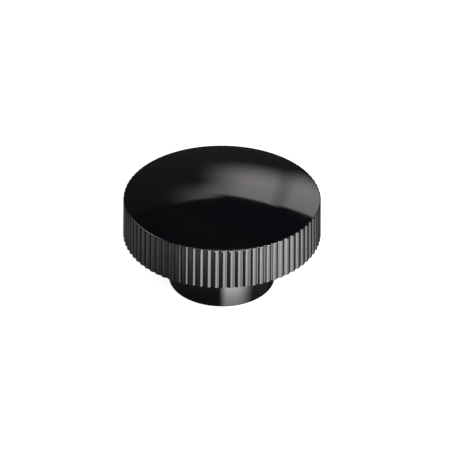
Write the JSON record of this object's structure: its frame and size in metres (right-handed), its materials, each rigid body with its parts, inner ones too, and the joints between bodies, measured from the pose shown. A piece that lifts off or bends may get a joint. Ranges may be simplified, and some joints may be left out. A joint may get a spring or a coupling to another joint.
{
  "type": "knurled knob",
  "caption": "Round clamping knob with a domed top, a finely fluted rim and a plain hub that holds a blind threaded brass insert.",
  "frame": {"origin": "centre of the hub's lower face, which the knob stands on and which seats on what it clamps", "axes": "+Z along the knob's own axis, from the hub to the domed top; +X and +Y are square to it, with a flute of the rim facing -Y"},
  "size_m": [0.05, 0.05, 0.0273],
  "materials": {
    "black_thermoset": "high gloss, as moulded",
    "brass": "turned, slightly dull"
  },
  "bodies": {
    "root": {"knob_body": "black_thermoset", "threaded_insert": "brass"}
  },
  "joints": []
}
